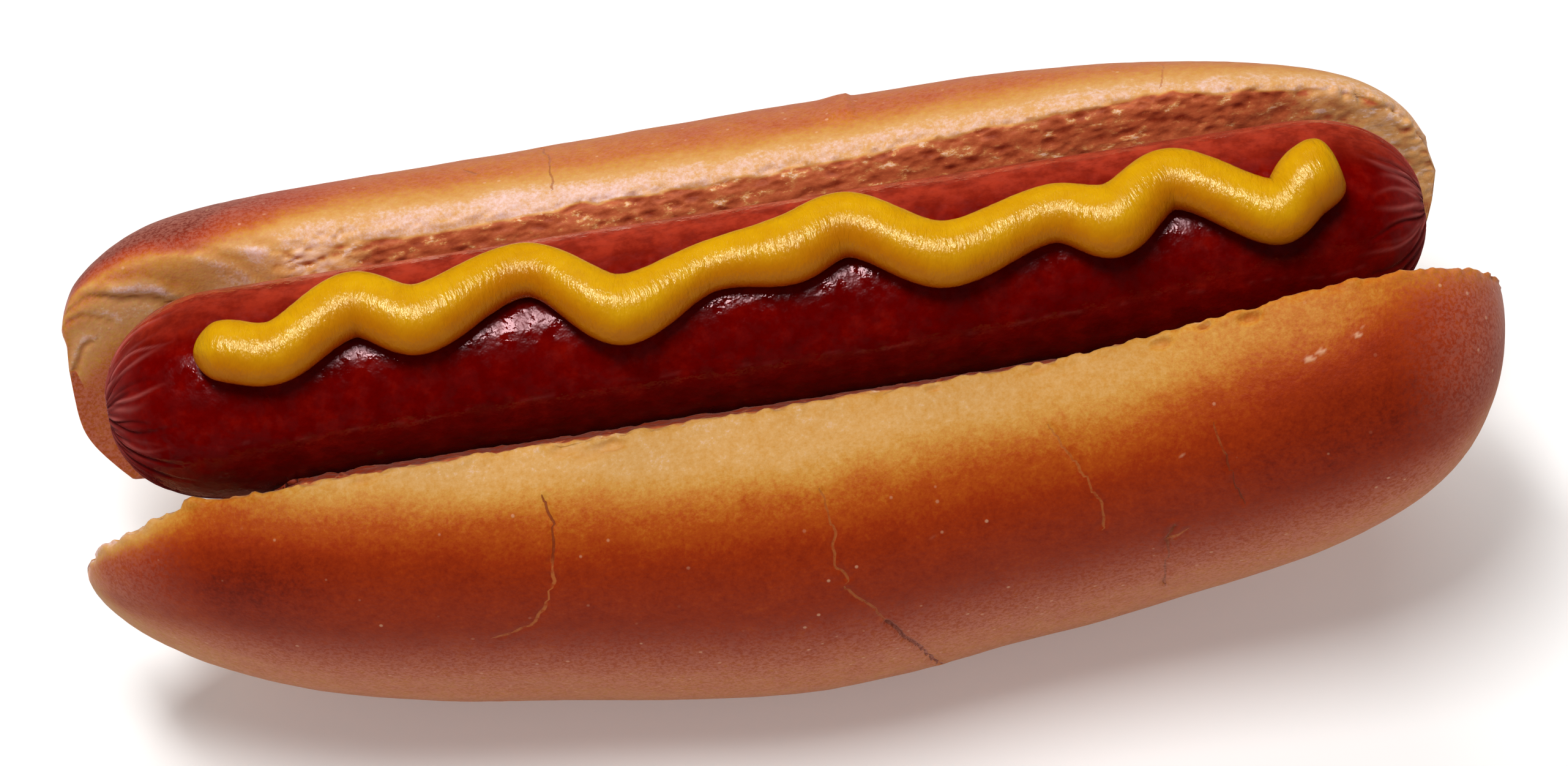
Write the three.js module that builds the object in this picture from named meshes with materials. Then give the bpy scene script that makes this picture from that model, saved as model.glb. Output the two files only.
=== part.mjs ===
// A hot dog, opened on its hinge: a split bread bun, one sausage seated in the split,
// and one bead of mustard squeezed in waves along the top of the sausage.
// Millimetres, +Z up, +X along the bun, +Y from the lower-lipped near half to the far half.
// Every curve is written about the sausage's own axis; the whole is shifted once at the end
// so that it rests on z = 0 with its outline centred on the origin.
import * as THREE from 'three';
import { mergeVertices } from 'three/addons/utils/BufferGeometryUtils.js';

// ---- driving dimensions ----
const SAUSAGE_LENGTH = 141;
const SAUSAGE_RADIUS = 11.1;
const SAUSAGE_CAP_LENGTH = 13.5;
const SAUSAGE_CAP_POWER = 2.15;
const PUCKER_RADIUS = 2.6;
const PUCKER_DEPTH = 1.1;

const BUN_SECTION_POWER = 2.5;
const BUN_OPENING_ANGLE = 17;
const BUN_FACE_HALF_HEIGHT = 24;
const SEAT_CLEARANCE = 0.4;
const SEAT_SHOULDER_ANGLE = 5;
const SEAT_FULL_TO = 50;
const SEAT_GONE_BY = 62;
const HINGE_WEB_HEIGHT = 6;
const HINGE_WEB_SAG = 1.2;
const HINGE_END_LEFT = 0.83;
const HINGE_END_RIGHT = 0.9;
const SOLE_BELOW_AXIS = 43;
const SOLE_HALF_WIDTH = 9;
const SOLE_HALF_LENGTH = 26;

const MUSTARD_HALF_WIDTH = 2.85;
const MUSTARD_HEIGHT = 5.4;
const MUSTARD_CLEARANCE = 0.35;

// Each half of the bun is half a fat loaf whose flat side is its cut face.
// side: -1 near, +1 far; lip: the middle of the upper edge of the cut face;
// thickness: how far the crust bulges out from the face; ends: how blunt it is at each end;
// skew: the knife ran slightly off, so one end of each half is thicker than the other;
// rise: how much the middle of the face climbs towards the tips; lift: the lip's climb in x.
const NEAR_HALF = {
  side: -1, middle: 0.55, length: 152.6, lipAcross: 15.3, lipUp: 3.6,
  thickness: 19.0, belly: 0.18, skew: 0.45, skewPower: 2.9,
  faceEnds: [4.0, 4.0], crustEnds: [5.2, 5.2], rise: [5.8, 5.8], risePower: 2,
  lift: 10.1, liftFrom: 24, liftTo: 81, tilt: 0.7,
};
const FAR_HALF = {
  side: 1, middle: -0.9, length: 148.4, lipAcross: 15.3, lipUp: 4.2,
  thickness: 22.6, belly: 0.06, skew: -0.25, skewPower: 2,
  faceEnds: [6.1, 4.4], crustEnds: [2.5, 2.5], rise: [11.7, 8.2], risePower: 4.2,
  lift: 2.2, liftFrom: -8, liftTo: 40, tilt: 0,
};

// The turns of the mustard: along the sausage, degrees off its top towards the near half, and
// how full the bead is there.
const MUSTARD_TURNS = [
  [-59.5, 13, 0.75], [-56, 17, 0.95], [-51, 21, 0.95], [-42.5, 4.5, 1], [-36, 16.5, 1.05],
  [-24, -0.5, 0.85], [-15, 26, 1.05], [-5, 12, 0.8], [3.5, 11, 1.05], [9.5, 3, 1],
  [19, 24, 1], [31, 13, 0.9], [37, 21, 1.1], [43.5, 5.5, 0.95], [54, 28, 1],
  [57.5, 17.5, 1.1], [61, 10.5, 1.05],
];

// The shift from the sausage's axis to the resting frame.
const SHIFT_X = -0.55;
const SHIFT_Y = -0.6;
const SHIFT_Z = SOLE_BELOW_AXIS;

// ---- facet counts ----
const BUN_STATIONS = 54;
const CRUST_STEPS = 14;
const FACE_STEPS = 4;
const WEB_STEPS = 2;
const HINGE_STEPS = 10;
const SAUSAGE_STATIONS = 38;
const SAUSAGE_AROUND = 28;
const MUSTARD_STATIONS = 92;
const MUSTARD_DOME_STEPS = 8;
const MUSTARD_FOOT_STEPS = 3;

const radians = (degrees) => degrees * Math.PI / 180;
const mix = (a, b, t) => a + (b - a) * t;
const mixPoint = (p, q, t) => p.map((value, i) => mix(value, q[i], t));
const clamp01 = (t) => Math.min(1, Math.max(0, t));
const signedPower = (t, power) => Math.sign(t) * Math.abs(t) ** power;

function smooth(from, to, x) {
  const t = clamp01((x - from) / (to - from));
  return t * t * (3 - 2 * t);
}

// Radius of the sausage at x: straight, then a superelliptic cap at each end.
function sausageRadius(x) {
  const start = SAUSAGE_LENGTH / 2 - SAUSAGE_CAP_LENGTH;
  const t = clamp01((Math.abs(x) - start) / SAUSAGE_CAP_LENGTH);
  return SAUSAGE_RADIUS * (1 - t ** SAUSAGE_CAP_POWER) ** (1 / SAUSAGE_CAP_POWER);
}

// The size and place of one half's section at s in -1..1 from its left tip to its right tip.
function sectionOf(half, s) {
  const end = s < 0 ? 0 : 1;
  const out = Math.abs(s);
  const x = half.middle + s * half.length / 2;
  const faceHalf = BUN_FACE_HALF_HEIGHT * Math.sqrt(Math.max(0, 1 - out ** half.faceEnds[end]));
  const roundEnd = Math.sqrt(Math.max(0, 1 - out ** half.crustEnds[end]));
  const knife = 1 + half.skew * Math.sign(s) * out ** half.skewPower;
  const belly = 1 + half.belly * Math.exp(-((s / 0.3) ** 2));
  const lift = half.lift * smooth(half.liftFrom, half.liftTo, x) + half.tilt * s;
  return {
    x, faceHalf,
    thick: half.thickness * roundEnd * knife * belly,
    faceMiddle: -(BUN_FACE_HALF_HEIGHT - half.rise[end] * out ** half.risePower),
    up: half.lipUp + lift,
  };
}

// A point of one half: along is measured up its cut face from the lip's level, out is measured
// square to the face into the bread.
function placeOnHalf(half, section, along, out) {
  const tilt = radians(BUN_OPENING_ANGLE);
  const y = half.lipAcross + along * Math.sin(tilt) + out * Math.cos(tilt);
  const z = section.up + along * Math.cos(tilt) - out * Math.sin(tilt);
  return [section.x, half.side * y, z];
}

// The bread spreads flat where it bears on the table.
function pressOnTable([x, y, z]) {
  const lengthwise = 1 - smooth(SOLE_HALF_LENGTH - 6, SOLE_HALF_LENGTH + 16, Math.abs(x));
  const widthwise = 1 - smooth(SOLE_HALF_WIDTH, SOLE_HALF_WIDTH + 6, Math.abs(y));
  const pressed = mix(z, -SOLE_BELOW_AXIS, lengthwise * widthwise);
  return [x, y, Math.max(pressed, -SOLE_BELOW_AXIS)];
}

// The crust of one half: t runs 0 at the lip to 1 at the heel, over a D-shaped section.
function crustPoint(half, s, t) {
  const section = sectionOf(half, s);
  const angle = Math.PI * t;
  const along = signedPower(Math.cos(angle), 2 / BUN_SECTION_POWER);
  const out = Math.abs(Math.sin(angle)) ** (2 / BUN_SECTION_POWER);
  const faceAlong = section.faceMiddle + section.faceHalf * along;
  return pressOnTable(placeOnHalf(half, section, faceAlong, section.thick * out));
}

// The flat cut face of one half: t runs 0 at the lip to 1 at the heel.
function facePoint(half, s, t) {
  const section = sectionOf(half, s);
  const along = section.faceMiddle + section.faceHalf * (1 - 2 * t);
  return placeOnHalf(half, section, along, 0);
}

// Bread is kept clear of the sausage: a point too close is pushed straight out from its axis.
function clearOfSausage([x, y, z]) {
  const least = sausageRadius(x) + SEAT_CLEARANCE;
  const radius = Math.hypot(y, z);
  const inside = Math.abs(x) < SAUSAGE_LENGTH / 2 && radius < least;
  const push = inside ? least / radius : 1;
  return [x, y * push, z * push];
}

const seatedness = (x) => 1 - smooth(SEAT_FULL_TO, SEAT_GONE_BY, Math.abs(x));

// A point of the round seat under the sausage, at an angle below the horizontal.
function seatArcPoint(x, angle) {
  const radius = SAUSAGE_RADIUS + SEAT_CLEARANCE;
  return [x, radius * Math.cos(angle), -radius * Math.sin(angle)];
}

// Where a cut face ends below: at the seat's shoulder in the middle of the bun, and at the
// top of the thin hinge web towards the tips.
function cornerPoint(half, s) {
  const section = sectionOf(half, s);
  const webShare = HINGE_WEB_HEIGHT / Math.max(2 * section.faceHalf, 2 * HINGE_WEB_HEIGHT);
  const low = facePoint(half, s, 1 - webShare);
  const shoulder = radians(SEAT_SHOULDER_ANGLE);
  const angle = half.side > 0 ? shoulder : Math.PI - shoulder;
  const high = seatArcPoint(section.x, angle);
  return mixPoint(low, high, seatedness(section.x));
}

// The open cut face between the lip (t = 0) and that corner (t = 1).
function openFacePoint(half, s, t) {
  return clearOfSausage(mixPoint(facePoint(half, s, 0), cornerPoint(half, s), t));
}

// The face below the corner, down to the heel: open only where the hinge web has ended.
function lowerFacePoint(half, s, t) {
  const corner = clearOfSausage(cornerPoint(half, s));
  return mixPoint(corner, crustPoint(half, s, 1), t);
}

// The seat floor from the far corner (t = 0) to the near corner (t = 1).
function seatPoint(s, t) {
  const far = cornerPoint(FAR_HALF, s);
  const near = cornerPoint(NEAR_HALF, s);
  const bridge = mixPoint(far, near, t);
  bridge[2] -= HINGE_WEB_SAG * 4 * t * (1 - t);
  const shoulder = radians(SEAT_SHOULDER_ANGLE);
  const arc = seatArcPoint(bridge[0], mix(shoulder, Math.PI - shoulder, t));
  const seated = mixPoint(bridge, arc, seatedness(bridge[0]));
  return clearOfSausage(t === 0 ? far : t === 1 ? near : seated);
}

// The hinge under the bun from the near heel (t = 0) to the far heel (t = 1).
function hingePoint(s, t) {
  const joined = mixPoint(facePoint(NEAR_HALF, s, 1), facePoint(FAR_HALF, s, 1), t);
  return pressOnTable(joined);
}

// ---- meshes ----
// Adds the quads of a surface given as point(row, column) on a grid of unit steps.
function addGrid(triangles, rows, columns, point) {
  for (let i = 0; i < rows; i += 1) {
    for (let j = 0; j < columns; j += 1) {
      const a = point(i, j);
      const b = point(i + 1, j);
      const c = point(i + 1, j + 1);
      const d = point(i, j + 1);
      triangles.push(a, b, c, a, c, d);
    }
  }
}

// Drops the triangles that have closed up to a line at a tip.
function isOpenTriangle(a, b, c) {
  const ab = new THREE.Vector3(b[0] - a[0], b[1] - a[1], b[2] - a[2]);
  const ac = new THREE.Vector3(c[0] - a[0], c[1] - a[1], c[2] - a[2]);
  return ab.cross(ac).length() > 1e-7;
}

function solidFrom(name, triangles, colour, roughness) {
  const corners = [];
  for (let i = 0; i < triangles.length; i += 3) {
    const [a, b, c] = triangles.slice(i, i + 3);
    if (isOpenTriangle(a, b, c)) {
      corners.push(...a, ...b, ...c);
    }
  }
  const loose = new THREE.BufferGeometry();
  loose.setAttribute('position', new THREE.Float32BufferAttribute(corners, 3));
  const geometry = mergeVertices(loose, 1e-4);
  geometry.translate(SHIFT_X, SHIFT_Y, SHIFT_Z);
  geometry.computeVertexNormals();
  const material = new THREE.MeshStandardMaterial({ color: colour, roughness });
  const mesh = new THREE.Mesh(geometry, material);
  mesh.name = name;
  return mesh;
}

// Stations crowd towards the tips, and one falls exactly where the hinge web ends.
function bunStations() {
  const leftEnd = Math.asin(HINGE_END_LEFT);
  const rightEnd = Math.asin(HINGE_END_RIGHT);
  const inner = BUN_STATIONS - 14;
  const list = [];
  for (let i = 0; i <= 7; i += 1) {
    list.push(Math.sin(mix(-Math.PI / 2, -leftEnd, i / 7)));
  }
  for (let i = 1; i < inner; i += 1) {
    list.push(Math.sin(mix(-leftEnd, rightEnd, i / inner)));
  }
  for (let i = 0; i <= 7; i += 1) {
    list.push(Math.sin(mix(rightEnd, Math.PI / 2, i / 7)));
  }
  return list;
}

// The bun is one closed skin: two crusts, two open faces, the seat and the hinge between the
// two ends of the web, the lower faces of the four horns beyond it, and a wall at each web end.
function makeBun() {
  const stations = bunStations();
  const last = stations.length - 1;
  const webFrom = 7;
  const webTo = last - 7;
  const triangles = [];
  const at = (i) => stations[i];
  for (const half of [NEAR_HALF, FAR_HALF]) {
    const isFar = half.side > 0;
    const crustShare = (j) => (isFar ? j : CRUST_STEPS - j) / CRUST_STEPS;
    const faceShare = (j) => (isFar ? FACE_STEPS - j : j) / FACE_STEPS;
    const lowerShare = (j) => (isFar ? WEB_STEPS - j : j) / WEB_STEPS;
    addGrid(triangles, last, CRUST_STEPS, (i, j) => crustPoint(half, at(i), crustShare(j)));
    addGrid(triangles, last, FACE_STEPS, (i, j) => openFacePoint(half, at(i), faceShare(j)));
    for (const [from, rows] of [[0, webFrom], [webTo, last - webTo]]) {
      addGrid(triangles, rows, WEB_STEPS,
        (i, j) => lowerFacePoint(half, at(from + i), lowerShare(j)));
    }
  }
  const rows = webTo - webFrom;
  const hingeShare = (j) => 1 - j / HINGE_STEPS;
  addGrid(triangles, rows, HINGE_STEPS, (i, j) => hingePoint(at(webFrom + i), hingeShare(j)));
  addGrid(triangles, rows, HINGE_STEPS, (i, j) => seatPoint(at(webFrom + i), hingeShare(j)));
  addWebWall(triangles, at(webFrom), false);
  addWebWall(triangles, at(webTo), true);
  return solidFrom('bun', triangles, 0xc98a4b, 0.8);
}

// The torn end of the hinge web, ruled between the seat above and the hinge below and pulled
// onto the two lower faces at its sides.
function addWebWall(triangles, s, atRight) {
  const wall = (i, j) => {
    const across = (atRight ? HINGE_STEPS - i : i) / HINGE_STEPS;
    const down = j / WEB_STEPS;
    if (across === 0) {
      return lowerFacePoint(NEAR_HALF, s, down);
    }
    if (across === 1) {
      return lowerFacePoint(FAR_HALF, s, down);
    }
    return mixPoint(seatPoint(s, 1 - across), hingePoint(s, across), down);
  };
  addGrid(triangles, HINGE_STEPS, WEB_STEPS, wall);
}

// The sausage: a straight skin with rounded caps and a shallow pucker where each end is tied.
function makeSausage() {
  const half = SAUSAGE_LENGTH / 2;
  const skin = (i, j) => {
    const s = Math.sin(mix(-Math.PI / 2, Math.PI / 2, i / SAUSAGE_STATIONS));
    const radius = sausageRadius(s * half);
    const pucker = PUCKER_DEPTH * (1 - smooth(0, PUCKER_RADIUS, radius));
    const x = s * half - Math.sign(s) * pucker;
    const angle = 2 * Math.PI * (j % SAUSAGE_AROUND) / SAUSAGE_AROUND;
    return [x, radius * Math.cos(angle), radius * Math.sin(angle)];
  };
  const triangles = [];
  addGrid(triangles, SAUSAGE_STATIONS, SAUSAGE_AROUND, (i, j) => skin(i, SAUSAGE_AROUND - j));
  return solidFrom('sausage', triangles, 0x8c1a12, 0.35);
}

// A smooth curve through the turns, wrapped on the sausage: x is along it, y is arc length off
// its top, and z carries the bead's fullness.
function mustardPath() {
  const arc = MUSTARD_TURNS.map(([x, angle, full]) => (
    new THREE.Vector3(x, radians(angle) * SAUSAGE_RADIUS, full)));
  return new THREE.CatmullRomCurve3(arc, false, 'centripetal');
}

// How the bead rounds off: a blob where it starts and a short tail where it ends.
function beadEnds(t) {
  const blob = Math.sqrt(1 - (1 - clamp01(t / 0.022)) ** 2);
  const tail = Math.sqrt(1 - (1 - clamp01((1 - t) / 0.03)) ** 2);
  return blob * tail;
}

// One point of the bead, at lateral distance side and height up over the sausage's skin.
function overSausage(centre, tangent, side, up) {
  const x = centre.x - tangent.y * side;
  const angle = (centre.y + tangent.x * side) / SAUSAGE_RADIUS;
  const radius = sausageRadius(x) + MUSTARD_CLEARANCE + up;
  return [x, -radius * Math.sin(angle), radius * Math.cos(angle)];
}

// The bead's section: a round back on a narrower flat foot that follows the sausage.
function beadSection(j) {
  const around = MUSTARD_DOME_STEPS + MUSTARD_FOOT_STEPS;
  const k = j % around;
  const low = radians(-38);
  if (k <= MUSTARD_DOME_STEPS) {
    const angle = mix(low, Math.PI - low, k / MUSTARD_DOME_STEPS);
    const rise = (Math.sin(angle) - Math.sin(low)) / (1 - Math.sin(low));
    return [Math.cos(angle), rise];
  }
  const foot = (k - MUSTARD_DOME_STEPS) / MUSTARD_FOOT_STEPS;
  return [mix(-Math.cos(low), Math.cos(low), foot), 0];
}

function makeMustard() {
  const path = mustardPath();
  const around = MUSTARD_DOME_STEPS + MUSTARD_FOOT_STEPS;
  const bead = (i, j) => {
    const t = (1 - Math.cos(Math.PI * i / MUSTARD_STATIONS)) / 2;
    const even = mix(i / MUSTARD_STATIONS, t, 0.35);
    const centre = path.getPointAt(even);
    const ends = beadEnds(even);
    const full = ends * centre.z;
    const [side, up] = beadSection(j);
    const lifted = 0.15 * MUSTARD_HEIGHT * (1 - ends);
    return overSausage(centre, path.getTangentAt(even),
      side * MUSTARD_HALF_WIDTH * full, lifted + up * MUSTARD_HEIGHT * full);
  };
  const triangles = [];
  addGrid(triangles, MUSTARD_STATIONS, around, bead);
  return solidFrom('mustard', triangles, 0xe0a800, 0.3);
}

const hotDog = new THREE.Group();
hotDog.name = 'hot_dog';
hotDog.add(makeBun(), makeSausage(), makeMustard());

export default hotDog;
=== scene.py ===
import bpy
import numpy as np
from mathutils import Matrix, Vector


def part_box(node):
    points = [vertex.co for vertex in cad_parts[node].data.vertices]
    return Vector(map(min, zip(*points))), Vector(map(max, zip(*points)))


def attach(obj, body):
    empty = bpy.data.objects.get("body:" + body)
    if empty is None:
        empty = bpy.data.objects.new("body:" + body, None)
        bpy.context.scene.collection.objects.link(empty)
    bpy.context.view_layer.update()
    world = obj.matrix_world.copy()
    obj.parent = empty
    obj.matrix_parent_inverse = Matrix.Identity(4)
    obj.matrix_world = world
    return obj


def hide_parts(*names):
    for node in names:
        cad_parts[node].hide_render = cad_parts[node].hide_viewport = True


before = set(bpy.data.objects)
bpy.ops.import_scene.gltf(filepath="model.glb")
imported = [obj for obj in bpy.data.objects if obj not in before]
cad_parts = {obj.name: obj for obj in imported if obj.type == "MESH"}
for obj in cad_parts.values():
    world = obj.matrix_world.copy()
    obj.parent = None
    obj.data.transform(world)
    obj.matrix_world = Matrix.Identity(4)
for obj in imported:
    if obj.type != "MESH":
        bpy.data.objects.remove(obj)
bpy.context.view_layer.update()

# ---- Camera ----
# It looks down on the near side of the bun, turned a little so that the bun climbs to the
# right. It is aimed just in front of the middle of the sausage.
MM = 0.001
CAMERA_ELEVATION = np.radians(55.0)
CAMERA_ROLL = np.radians(8.9)
CAMERA_DISTANCE = 0.700
CAMERA_LENS = 152.0
CAMERA_SENSOR = 36.0
CAMERA_NEAREST = 0.01
CAMERA_FURTHEST = 20.0
AIM_ALONG = 0.7 * MM
AIM_UP = -8.0 * MM

sausage_low, sausage_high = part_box("sausage")
AXIS = (np.array(sausage_low) + np.array(sausage_high)) / 2

along_bun = Vector((1, 0, 0))
up_view = Vector((0, np.sin(CAMERA_ELEVATION), np.cos(CAMERA_ELEVATION)))
towards_camera = Vector((0, -np.cos(CAMERA_ELEVATION), np.sin(CAMERA_ELEVATION)))
camera_right = along_bun * np.cos(CAMERA_ROLL) - up_view * np.sin(CAMERA_ROLL)
camera_up = along_bun * np.sin(CAMERA_ROLL) + up_view * np.cos(CAMERA_ROLL)
aim = Vector(AXIS) + along_bun * AIM_ALONG + up_view * AIM_UP

camera_data = bpy.data.cameras.new("camera")
camera_data.lens = CAMERA_LENS
camera_data.sensor_width = CAMERA_SENSOR
camera_data.clip_start = CAMERA_NEAREST
camera_data.clip_end = CAMERA_FURTHEST
camera = bpy.data.objects.new("camera", camera_data)
camera_place = Matrix((camera_right, camera_up, towards_camera)).transposed().to_4x4()
camera_place.translation = aim + towards_camera * CAMERA_DISTANCE
camera.matrix_world = camera_place
bpy.context.scene.collection.objects.link(camera)
bpy.context.scene.camera = camera

# ---- Studio light and floor ----
# A wide lamp straight overhead gives the ridge of light along the mustard and the sheen on the
# sausage; a weaker one behind lights the far crust and is not mirrored, so that it adds no second
# ridge; dim pale surroundings fill the shadows. The floor is plain and pale, and glows a little.

# Each lamp: its power, its size, its place, and whether glossy surfaces mirror it.
LAMPS = [
    ("key_light", 6.9, (0.44, 0.18), (-0.11, -0.05, 0.95), True),
    ("back_light", 2.4, (0.50, 0.20), (0.05, 0.60, 0.62), False),
]
SURROUNDINGS = 0.20
FLOOR_HALF = 3.0
FLOOR_GLOW = 0.18
FLOOR_COLOUR = (0.88, 0.88, 0.87, 1)
FLOOR_ROUGHNESS = 0.9
WHITE = (1, 1, 1, 1)


def new_material(name):
    """A material, with its node tree and its shader."""
    material = bpy.data.materials.new(name)
    material.use_nodes = True
    return material, material.node_tree, material.node_tree.nodes["Principled BSDF"]


def set_inputs(node, **values):
    """Sets the node's own sockets of those names, in which _ stands for a space."""
    for name, value in values.items():
        node.inputs[name.replace("_", " ")].default_value = value


for name, power, size, place, mirrored in LAMPS:
    lamp_data = bpy.data.lights.new(name, "AREA")
    lamp_data.shape = "RECTANGLE"
    lamp_data.size, lamp_data.size_y = size
    lamp_data.energy = power
    lamp = bpy.data.objects.new(name, lamp_data)
    lamp.location = place
    lamp.rotation_mode = "QUATERNION"
    lamp.rotation_quaternion = Vector(place).to_track_quat("Z", "Y")
    lamp.visible_glossy = mirrored
    bpy.context.scene.collection.objects.link(lamp)

world = bpy.data.worlds.new("pale_surroundings")
world.use_nodes = True
set_inputs(world.node_tree.nodes["Background"], Color=WHITE, Strength=SURROUNDINGS)
bpy.context.scene.world = world
world.cycles_visibility.glossy = False
bpy.context.scene.view_settings.view_transform = "Standard"

floor_mesh = bpy.data.meshes.new("floor")
floor_mesh.from_pydata(
    [(-FLOOR_HALF, -FLOOR_HALF, 0), (FLOOR_HALF, -FLOOR_HALF, 0),
     (FLOOR_HALF, FLOOR_HALF, 0), (-FLOOR_HALF, FLOOR_HALF, 0)], [], [(0, 1, 2, 3)])
floor = bpy.data.objects.new("floor", floor_mesh)
bpy.context.scene.collection.objects.link(floor)
floor_material, _, shader = new_material("plain_floor")
set_inputs(
    shader, Base_Color=FLOOR_COLOUR, Roughness=FLOOR_ROUGHNESS, Emission_Color=WHITE,
    Emission_Strength=FLOOR_GLOW)
floor_mesh.materials.append(floor_material)
floor.visible_glossy = False

# ---- Bun ----
# One long soft roll, sliced along its length and folded open on the uncut hinge below, so
# that it is two half loaves in a V with the sausage seated between their cut faces. The crust
# is thin, egg-glazed and baked unevenly; the cut bread is open crumb, torn along its lips.

# Lengths are in millimetres from the middle of the sausage; the bread is shaped round its form.
SAUSAGE_LENGTH = 141.0
SAUSAGE_RADIUS = 11.1
SAUSAGE_CAP_LENGTH = 13.5
SAUSAGE_CAP_POWER = 2.15

BUN_SECTION_POWER = 2.5
BUN_OPENING_ANGLE = np.radians(17.0)
BUN_FACE_HALF_HEIGHT = 24.0
SEAT_CLEARANCE = 0.4
SEAT_SHOULDER_ANGLE = np.radians(5.0)
SEAT_FULL_TO = 50.0
SEAT_GONE_BY = 62.0
HINGE_WEB_HEIGHT = 6.0
HINGE_WEB_SAG = 1.2
HINGE_END_LEFT = 0.83
HINGE_END_RIGHT = 0.9
SOLE_BELOW_AXIS = 43.0
SOLE_HALF_WIDTH = 9.0
SOLE_HALF_LENGTH = 26.0
SOLE_EDGE_ALONG = (-6.0, 16.0)
SOLE_EDGE_ACROSS = 6.0
BELLY_REACH = 0.3

# Each half: its side of the V, the middle and length along the bun, where its lip stands across
# and up, how thick it is and how much more at its belly, how the knife's skew thins one end, the
# powers that round its ends (left, right), how far its heel rises there, and how its lip climbs.
NEAR_HALF = dict(
    side=-1, middle=0.55, length=152.6, lip_across=15.3, lip_up=3.6,
    thickness=19.0, belly=0.18, skew=0.45, skew_power=2.9,
    face_ends=(4.0, 4.0), crust_ends=(5.2, 5.2), rise=(5.8, 5.8), rise_power=2.0,
    lift=10.1, lift_from=24.0, lift_to=81.0, tilt=0.7)
FAR_HALF = dict(
    side=1, middle=-0.9, length=148.4, lip_across=15.3, lip_up=4.2,
    thickness=22.6, belly=0.06, skew=-0.25, skew_power=2.0,
    face_ends=(6.1, 4.4), crust_ends=(2.5, 2.5), rise=(11.7, 8.2), rise_power=4.2,
    lift=2.2, lift_from=-8.0, lift_to=40.0, tilt=0.0)


def smooth(low, high, x):
    """0 below low, 1 above high, and t * t * (3 - 2 t) between them."""
    t = np.clip((x - low) / (high - low), 0, 1)
    return t * t * (3 - 2 * t)


def mix(a, b, t):
    """a where t is 0, b where t is 1, straight between."""
    return a + (b - a) * t


def bump(x, middle, width):
    """A bell of height 1 at middle: exp of minus the square of the distance over width."""
    return np.exp(-((x - middle) / width) ** 2)


def sausage_radius(x):
    """Straight, then at each end a cap where (r / R) ** p + (depth / length) ** p = 1."""
    start = SAUSAGE_LENGTH / 2 - SAUSAGE_CAP_LENGTH
    t = np.clip((np.abs(x) - start) / SAUSAGE_CAP_LENGTH, 0, 1)
    return SAUSAGE_RADIUS * (1 - t ** SAUSAGE_CAP_POWER) ** (1 / SAUSAGE_CAP_POWER)


def section_of(half, s):
    """One half's section at s, -1 at its left tip to 1 at its right: its place along x, half
    the height of its cut face, its thickness, the middle of the face and the lip's height.
    Height and thickness go as the root of 1 - |s| ** p; the knife's skew thickens one end."""
    out = np.abs(s)
    pick = lambda pair: np.where(s < 0, pair[0], pair[1])
    x = half["middle"] + s * half["length"] / 2
    face_half = BUN_FACE_HALF_HEIGHT * np.sqrt(np.clip(1 - out ** pick(half["face_ends"]), 0, 1))
    round_end = np.sqrt(np.clip(1 - out ** pick(half["crust_ends"]), 0, 1))
    knife = 1 + half["skew"] * np.sign(s) * out ** half["skew_power"]
    belly = 1 + half["belly"] * np.exp(-((s / BELLY_REACH) ** 2))
    thick = half["thickness"] * round_end * knife * belly
    face_middle = -(BUN_FACE_HALF_HEIGHT - pick(half["rise"]) * out ** half["rise_power"])
    up = half["lip_up"] + half["lift"] * smooth(half["lift_from"], half["lift_to"], x)
    return x, face_half, thick, face_middle, up + half["tilt"] * s


def on_half(half, section, along, out):
    """A point given by its distance up the leaning cut face and square out from it."""
    x, _, _, _, up = section
    lean_across, lean_up = np.sin(BUN_OPENING_ANGLE), np.cos(BUN_OPENING_ANGLE)
    y = half["lip_across"] + along * lean_across + out * lean_up
    z = up + along * lean_up - out * lean_across
    x, y, z = np.broadcast_arrays(x, half["side"] * y, z)
    return np.stack([x, y, z], -1)


def press_on_table(points):
    """The bread spreads flat where it bears on the table, under the middle of the hinge."""
    x, y, z = points[..., 0], points[..., 1], points[..., 2]
    start, end = SOLE_EDGE_ALONG
    lengthwise = 1 - smooth(SOLE_HALF_LENGTH + start, SOLE_HALF_LENGTH + end, np.abs(x))
    widthwise = 1 - smooth(SOLE_HALF_WIDTH, SOLE_HALF_WIDTH + SOLE_EDGE_ACROSS, np.abs(y))
    pressed = mix(z, -SOLE_BELOW_AXIS, lengthwise * widthwise)
    return np.stack([x, y, np.maximum(pressed, -SOLE_BELOW_AXIS)], -1)


def other_half(half):
    """The half across the V."""
    return FAR_HALF if half is NEAR_HALF else NEAR_HALF


def crust_points(half, s, t):
    """The crust from lip (t 0) to heel (t 1): a superellipse of power 2.5 over the cut face,
    along = middle + height * cos ** 0.8, out = thickness * sin ** 0.8."""
    section = section_of(half, s)
    angle = np.pi * t
    power = 2 / BUN_SECTION_POWER
    along = np.sign(np.cos(angle)) * np.abs(np.cos(angle)) ** power
    out = np.abs(np.sin(angle)) ** power
    return press_on_table(
        on_half(half, section, section[3] + section[1] * along, section[2] * out))


def face_points(half, s, t):
    """The flat cut face from lip (t 0) to heel (t 1)."""
    section = section_of(half, s)
    return on_half(half, section, section[3] + section[1] * (1 - 2 * t), 0 * t)


def clear_of_sausage(points):
    """Pushes bread that is too near the sausage straight out from the sausage's axis."""
    x, y, z = points[..., 0], points[..., 1], points[..., 2]
    least = sausage_radius(x) + SEAT_CLEARANCE
    radius = np.maximum(np.hypot(y, z), 1e-6)
    inside = (np.abs(x) < SAUSAGE_LENGTH / 2) & (radius < least)
    push = np.where(inside, least / radius, 1.0)
    return np.stack([x, y * push, z * push], -1)


def seatedness(x):
    """1 along the middle, where the bread cradles the sausage, 0 towards the open tips."""
    return 1 - smooth(SEAT_FULL_TO, SEAT_GONE_BY, np.abs(x))


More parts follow.
